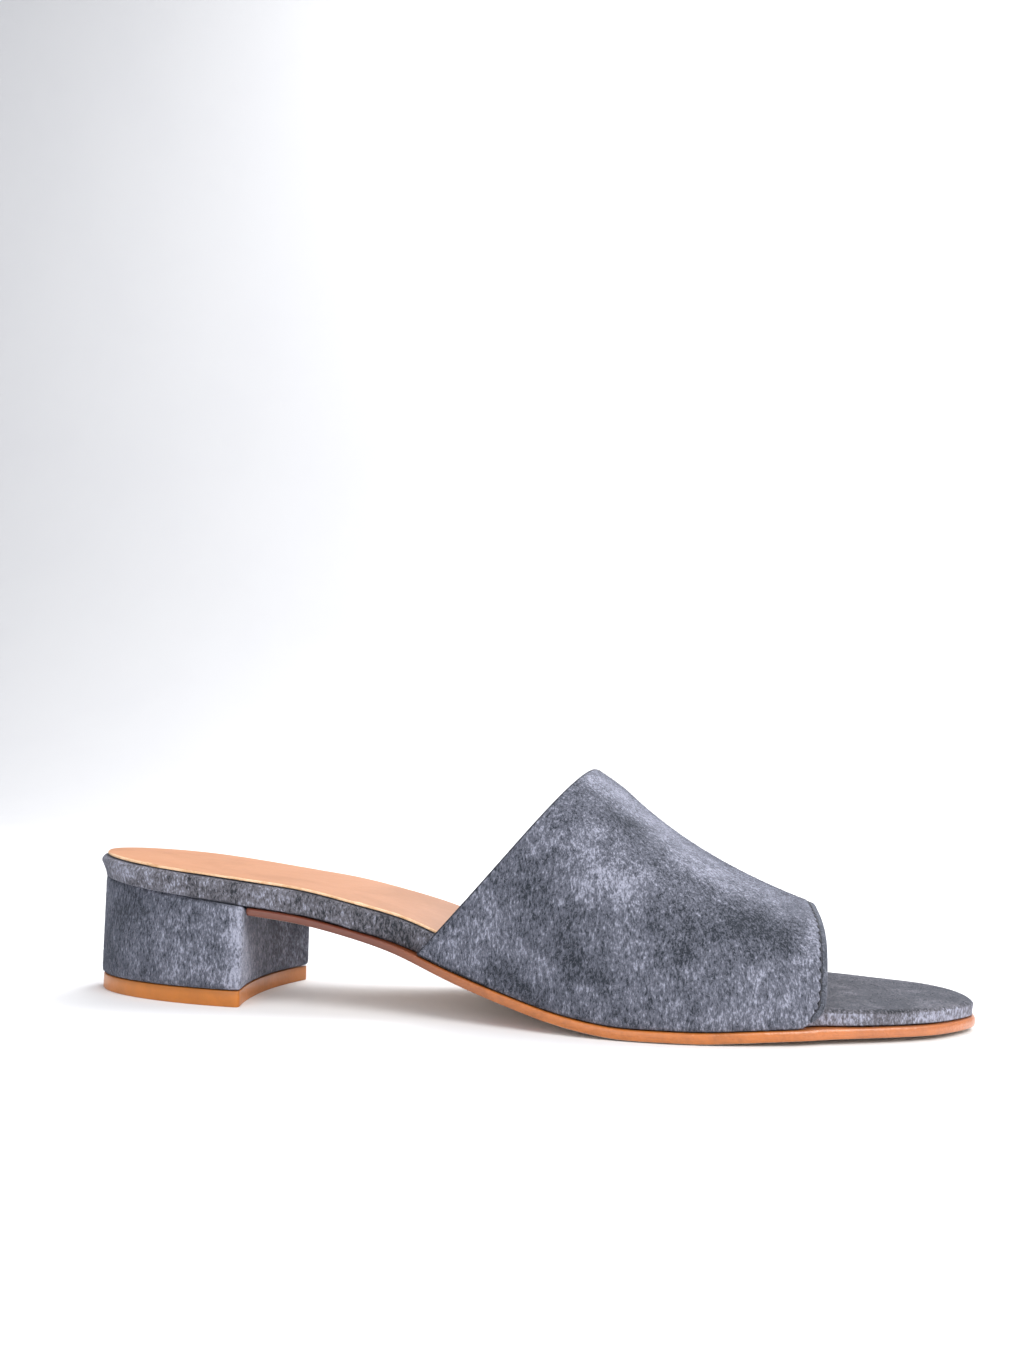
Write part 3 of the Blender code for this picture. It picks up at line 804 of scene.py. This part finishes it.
class MULE_OT_front_stitching(bpy.types.Operator):
    """Row of short dark stitches sunk into the groove of the front edge"""

    bl_idname = "mule.front_stitching"
    bl_label = "Front stitching"

    def execute(self, context):
        sizes = context.scene.mule_sizes
        mesh = bpy.data.objects["upper_suede"].data
        points, normals = points_of(mesh)
        behind = np.array([v.value for v in mesh.attributes["behind"].data])
        arc = np.array([v.value for v in mesh.attributes["arc"].data])
        suede_points = set()
        for face in mesh.polygons:
            if face.material_index == SUEDE_SIDE:
                suede_points.update(face.vertices)
        near = np.abs(behind - sizes.stitch_inset + 0.00015) < 0.0006
        near &= np.isin(np.arange(len(points)), list(suede_points))
        order = np.argsort(arc[near])
        arcs = arc[near][order]
        rows = np.column_stack([points[near], normals[near]])[order]
        count = int(arcs[-1] / sizes.stitch_pitch)
        bm = bmesh.new()
        for i in range(1, count):
            at = (i + 0.5) * sizes.stitch_pitch
            weight = np.exp(-((arcs - at) / 0.0009) ** 2)
            here = (rows * weight[:, None]).sum(axis=0) / weight.sum()
            ahead = np.exp(-((arcs - at - 0.001) / 0.0009) ** 2)
            there = (rows * ahead[:, None]).sum(axis=0) / ahead.sum()
            out = Vector(here[3:]).normalized()
            run = (Vector(there[:3]) - Vector(here[:3])).normalized()
            side = out.cross(run).normalized()
            turn = Matrix((run, side, run.cross(side))).transposed().to_4x4()
            turn.translation = Vector(here[:3]) + out * 0.00002
            size = Matrix.Diagonal((0.32 * sizes.stitch_pitch, sizes.thread_width / 2,
                                    sizes.thread_width / 2, 1))
            bmesh.ops.create_uvsphere(
                bm, u_segments=8, v_segments=6, radius=1, matrix=turn @ size)
        for face in bm.faces:
            face.smooth = True
        bmesh.ops.recalc_face_normals(bm, faces=bm.faces)
        mesh = bpy.data.meshes.new("front_stitching")
        bm.to_mesh(mesh)
        bm.free()
        piece = add_piece("front_stitching", mesh, [plain_thread()])
        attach(piece, "root")
        return {"FINISHED"}


class MULE_OT_footbed(bpy.types.Operator):
    """Suede wrapped round the footbed, its lip and the toe platform"""

    bl_idname = "mule.footbed"
    bl_label = "Footbed"

    def execute(self, context):
        piece = refined(copy_of("footbed"), "footbed_cover", [footbed_suede()])
        points, normals = points_of(piece.data)
        # Painted shade on the top of the toe platform and painted light on its sides, set by the way
        # each point faces.
        toe = np.clip((points[:, 0] - 0.150) / 0.03, 0, 1)
        flat = np.clip((normals[:, 2] - 0.35) / 0.5, 0, 1)
        shade = toe * (0.55 * (1 - flat) - 0.85 * flat)
        brush_nap(piece.data, FOOTBED_NAP_AND_LIGHT, shade)
        finish_piece(piece, "footbed")
        return {"FINISHED"}


class MULE_OT_heel(bpy.types.Operator):
    """Suede cover of the heel block"""

    bl_idname = "mule.heel"
    bl_label = "Heel block"

    def execute(self, context):
        piece = refined(copy_of("heel_block"), "heel_cover", [heel_suede()])
        # Painted highlight on the breast corner and painted shade at the back, from the heel's
        # patches.
        brush_nap(piece.data, HEEL_PAINTED_LIGHT)
        finish_piece(piece, "heel_block")
        return {"FINISHED"}


class MULE_OT_top_piece(bpy.types.Operator):
    """Rubber top piece with its edges slightly worn"""

    bl_idname = "mule.top_piece"
    bl_label = "Heel top piece"

    def execute(self, context):
        bm = copy_of("heel_top_piece")
        rims = [e for e in bm.edges if len(e.link_faces) == 2 and e.calc_face_angle() > 1.2]
        rims = [e for e in rims if abs(e.verts[0].co.z - e.verts[1].co.z) < 0.001]
        bmesh.ops.bevel(
            bm, geom=rims, offset=0.00025, offset_type="OFFSET", affect="EDGES", segments=2,
            profile=0.5, material=-1)
        for face in bm.faces:
            face.smooth = True
        mesh = bpy.data.meshes.new("rubber_top_piece")
        bm.to_mesh(mesh)
        bm.free()
        mesh.set_sharp_from_angle(angle=math.radians(35))
        piece = add_piece("rubber_top_piece", mesh, [amber_rubber()])
        finish_piece(piece, "heel_top_piece")
        return {"FINISHED"}


class MULE_OT_sock(bpy.types.Operator):
    """Tan leather sock with its pale cut edge"""

    bl_idname = "mule.sock"
    bl_label = "Sock lining"

    def execute(self, context):
        bm = copy_of("sock_lining")
        bm.normal_update()
        for face in bm.faces:
            face.material_index = 1 if abs(face.normal.z) < 0.8 else 0
        edge = raw_edge("cut_sock", (0.72, 0.48, 0.30), (0.50, 0.28, 0.14))
        piece = refined(bm, "sock_cover", [sock_leather(), edge])
        finish_piece(piece, "sock_lining")
        return {"FINISHED"}


class MULE_OT_outsole(bpy.types.Operator):
    """Leather outsole: waxed edge, natural underside"""

    bl_idname = "mule.outsole"
    bl_label = "Outsole"

    def execute(self, context):
        bm = copy_of("outsole")
        bm.normal_update()
        for face in bm.faces:
            face.material_index = 1 if face.normal.z < -0.85 else 0
        piece = refined(bm, "outsole_cover", [burnished_edge(), sole_leather()])
        finish_piece(piece, "outsole")
        return {"FINISHED"}


def fibres_on(mesh, amount, length, width, dice):
    """Roots, tips, widths and shades of fibres strewn over a mesh's suede faces."""
    mesh.calc_loop_triangles()
    corners = [t.vertices[:] for t in mesh.loop_triangles if t.material_index == SUEDE_SIDE]
    corners = np.array(corners)
    points, normals = points_of(mesh)
    a, b, c = (points[corners[:, i]] for i in range(3))
    area = np.linalg.norm(np.cross(b - a, c - a), axis=1)
    picked = dice.choice(len(area), size=amount, p=area / area.sum())
    first = np.sqrt(dice.random(amount))
    second = dice.random(amount)
    weights = np.stack([1 - first, first * (1 - second), first * second], axis=1)
    chosen = corners[picked]
    roots = (points[chosen] * weights[:, :, None]).sum(axis=1)
    out = (normals[chosen] * weights[:, :, None]).sum(axis=1)
    out /= np.linalg.norm(out, axis=1)[:, None]
    # The patches of brushed nap and painted light and shade beneath each fibre.
    brush = np.array([v.value for v in mesh.attributes["brush"].data])
    brush = (brush[chosen] * weights).sum(axis=1)
    swirl = 0.9 * np.sin(roots[:, 0] * 210 + 2 * np.sin(roots[:, 2] * 170)) + brush
    lean = np.stack([np.sin(swirl) * 0.9, dice.normal(0, 0.45, amount), -np.cos(swirl)], axis=1)
    lean += dice.normal(0, 0.45, (amount, 3))
    lean -= out * (lean * out).sum(axis=1)[:, None]
    lean /= np.linalg.norm(lean, axis=1)[:, None]
    reach = length * dice.uniform(0.45, 1.15, amount)[:, None]
    tips = roots + (lean + out * dice.uniform(0.12, 0.42, amount)[:, None]) * reach
    side = np.cross(lean, out) + out * dice.normal(0, 0.5, amount)[:, None]
    side *= width * 0.5 / np.linalg.norm(side, axis=1)[:, None]
    # Each fibre's tone is random, lifted or lowered by the painted light and shade of the patches
    # beneath.
    shade = np.clip(dice.beta(1.3, 2.6, amount) + 0.22 * brush, 0, 1)
    return roots, tips, side, shade


class MULE_OT_nap(bpy.types.Operator):
    """Loose fibres of the suede, strewn over the band, the footbed and the heel"""

    bl_idname = "mule.nap"
    bl_label = "Suede fibres"

    def execute(self, context):
        sizes = context.scene.mule_sizes
        dice = np.random.default_rng(FIBRE_SEED)
        finish = fibre_suede()
        for name, amount in FIBRES:
            mesh = bpy.data.objects[name].data
            roots, tips, side, shade = fibres_on(
                mesh, amount, sizes.fibre_length, sizes.fibre_width, dice)
            points = np.stack([roots - side, roots + side, tips], axis=1).reshape(-1, 3)
            fibres = bpy.data.meshes.new(name.split("_")[0] + "_nap")
            fibres.vertices.add(len(points))
            fibres.vertices.foreach_set("co", points.ravel())
            fibres.loops.add(len(points))
            fibres.loops.foreach_set("vertex_index", np.arange(len(points)))
            fibres.polygons.add(amount)
            fibres.polygons.foreach_set("loop_start", np.arange(0, len(points), 3))
            fibres.update(calc_edges=True)
            store(fibres, "shade", np.repeat(shade, 3))
            piece = add_piece(fibres.name, fibres, [finish])
            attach(piece, "root")
        return {"FINISHED"}


def soft_light(row, target):
    """A square lamp turned towards a point."""
    lamp = bpy.data.lights.new(row.name, "AREA")
    lamp.size = row.size
    lamp.energy = row.power
    lamp.color = row.colour
    light = bpy.data.objects.new(row.name, lamp)
    light.location = row.place
    aim = Vector(target) - Vector(row.place)
    light.rotation_euler = aim.to_track_quat("-Z", "Y").to_euler()
    bpy.context.scene.collection.objects.link(light)


def photo_camera():
    """The camera that saw the shoe in the photograph."""
    level = Matrix(((1, 0, 0), (0, 0, -1), (0, 1, 0)))
    yaw = Matrix.Rotation(CAMERA_YAW, 3, "Z")
    pitch = Matrix.Rotation(CAMERA_PITCH, 3, "X")
    roll = Matrix.Rotation(CAMERA_ROLL, 3, "Z")
    right, down, ahead = roll @ pitch @ level @ yaw
    camera = bpy.data.objects.new("photo_camera", bpy.data.cameras.new("photo_camera"))
    camera.matrix_world = Matrix.Translation(CAMERA_PLACE) @ (
        Matrix((right, -down, -ahead)).transposed().to_4x4())
    camera.data.sensor_width = 36
    camera.data.lens = CAMERA_LENS
    camera.data.clip_start = 0.01
    bpy.context.scene.collection.objects.link(camera)
    bpy.context.scene.camera = camera


class MULE_OT_stage(bpy.types.Operator):
    """Pale floor that sweeps up behind the shoe, soft lights and the camera"""

    bl_idname = "mule.stage"
    bl_label = "Stage"

    def execute(self, context):
        bm = bmesh.new()
        start = [bm.verts.new((x, FLOOR_NEAR, 0)) for x in FLOOR_SIDES]
        edge = bm.edges.new(start)
        grown = bmesh.ops.extrude_edge_only(bm, edges=[edge])["geom"]
        verts = [g for g in grown if isinstance(g, bmesh.types.BMVert)]
        bmesh.ops.translate(bm, verts=verts, vec=(0, FLOOR_DEPTH, 0))
        edges = [g for g in grown if isinstance(g, bmesh.types.BMEdge)]
        swept = bmesh.ops.spin(
            bm, geom=edges + verts, cent=(0, FLOOR_NEAR + FLOOR_DEPTH, SWEEP_RADIUS), axis=(1, 0, 0),
            angle=math.radians(90), steps=16)["geom_last"]
        edges = [g for g in swept if isinstance(g, bmesh.types.BMEdge)]
        grown = bmesh.ops.extrude_edge_only(bm, edges=edges)["geom"]
        verts = [g for g in grown if isinstance(g, bmesh.types.BMVert)]
        bmesh.ops.translate(bm, verts=verts, vec=(0, 0, BACKDROP_HEIGHT))
        bmesh.ops.recalc_face_normals(bm, faces=bm.faces)
        for face in bm.faces:
            face.smooth = True
        mesh = bpy.data.meshes.new("floor")
        bm.to_mesh(mesh)
        bm.free()
        finish, tree, shader, place = new_material("pale_floor")
        base = opaque(context.scene.mule_colours.floor)
        cloud = between(tree, noise(tree, place, 6.0, 3.0, 0.6), 0.35, 0.75)
        tint = mixed(tree, calc(tree, "MULTIPLY", cloud, 0.25), base, (0.80, 0.80, 0.82, 1))
        tree.links.new(tint, shader.inputs["Base Color"])
        shader.inputs["Roughness"].default_value = 0.8
        shader.inputs["Specular IOR Level"].default_value = 0.1
        floor = add_piece("floor", mesh, [finish])
        world = bpy.data.worlds.new("studio")
        world.use_nodes = True
        sky = world.node_tree.nodes["Background"]
        sky.inputs["Color"].default_value = WORLD_COLOUR
        sky.inputs["Strength"].default_value = WORLD_STRENGTH
        context.scene.world = world
        for row in LAMPS:
            soft_light(row, LAMP_TARGET)
        soft_light(BACKDROP_LAMP, BACKDROP_TARGET)
        photo_camera()
        context.scene.view_settings.view_transform = "Standard"
        return {"FINISHED"}


class MULE_PT_panel(bpy.types.Panel):
    """The mule's pieces, colours and sizes"""

    bl_idname = "MULE_PT_panel"
    bl_label = "Block heel mule"
    bl_space_type = "VIEW_3D"
    bl_region_type = "UI"
    bl_category = "Mule"

    def draw(self, context):
        for group in (context.scene.mule_colours, context.scene.mule_sizes):
            for name in group.__annotations__:
                self.layout.prop(group, name)
        for operator in OPERATORS:
            self.layout.operator(operator.bl_idname)


OPERATORS = (
    MULE_OT_upper,
    MULE_OT_front_stitching,
    MULE_OT_footbed,
    MULE_OT_heel,
    MULE_OT_top_piece,
    MULE_OT_sock,
    MULE_OT_outsole,
    MULE_OT_nap,
    MULE_OT_stage,
)
CLASSES = (MuleColours, MuleSizes, *OPERATORS, MULE_PT_panel)


def register():
    for kind in CLASSES:
        bpy.utils.register_class(kind)
    bpy.types.Scene.mule_colours = bpy.props.PointerProperty(type=MuleColours)
    bpy.types.Scene.mule_sizes = bpy.props.PointerProperty(type=MuleSizes)


def unregister():
    del bpy.types.Scene.mule_sizes
    del bpy.types.Scene.mule_colours
    for kind in reversed(CLASSES):
        bpy.utils.unregister_class(kind)


def main():
    register()
    for operator in OPERATORS:
        group, name = operator.bl_idname.split(".")
        getattr(getattr(bpy.ops, group), name)()


if __name__ == "__main__":
    main()
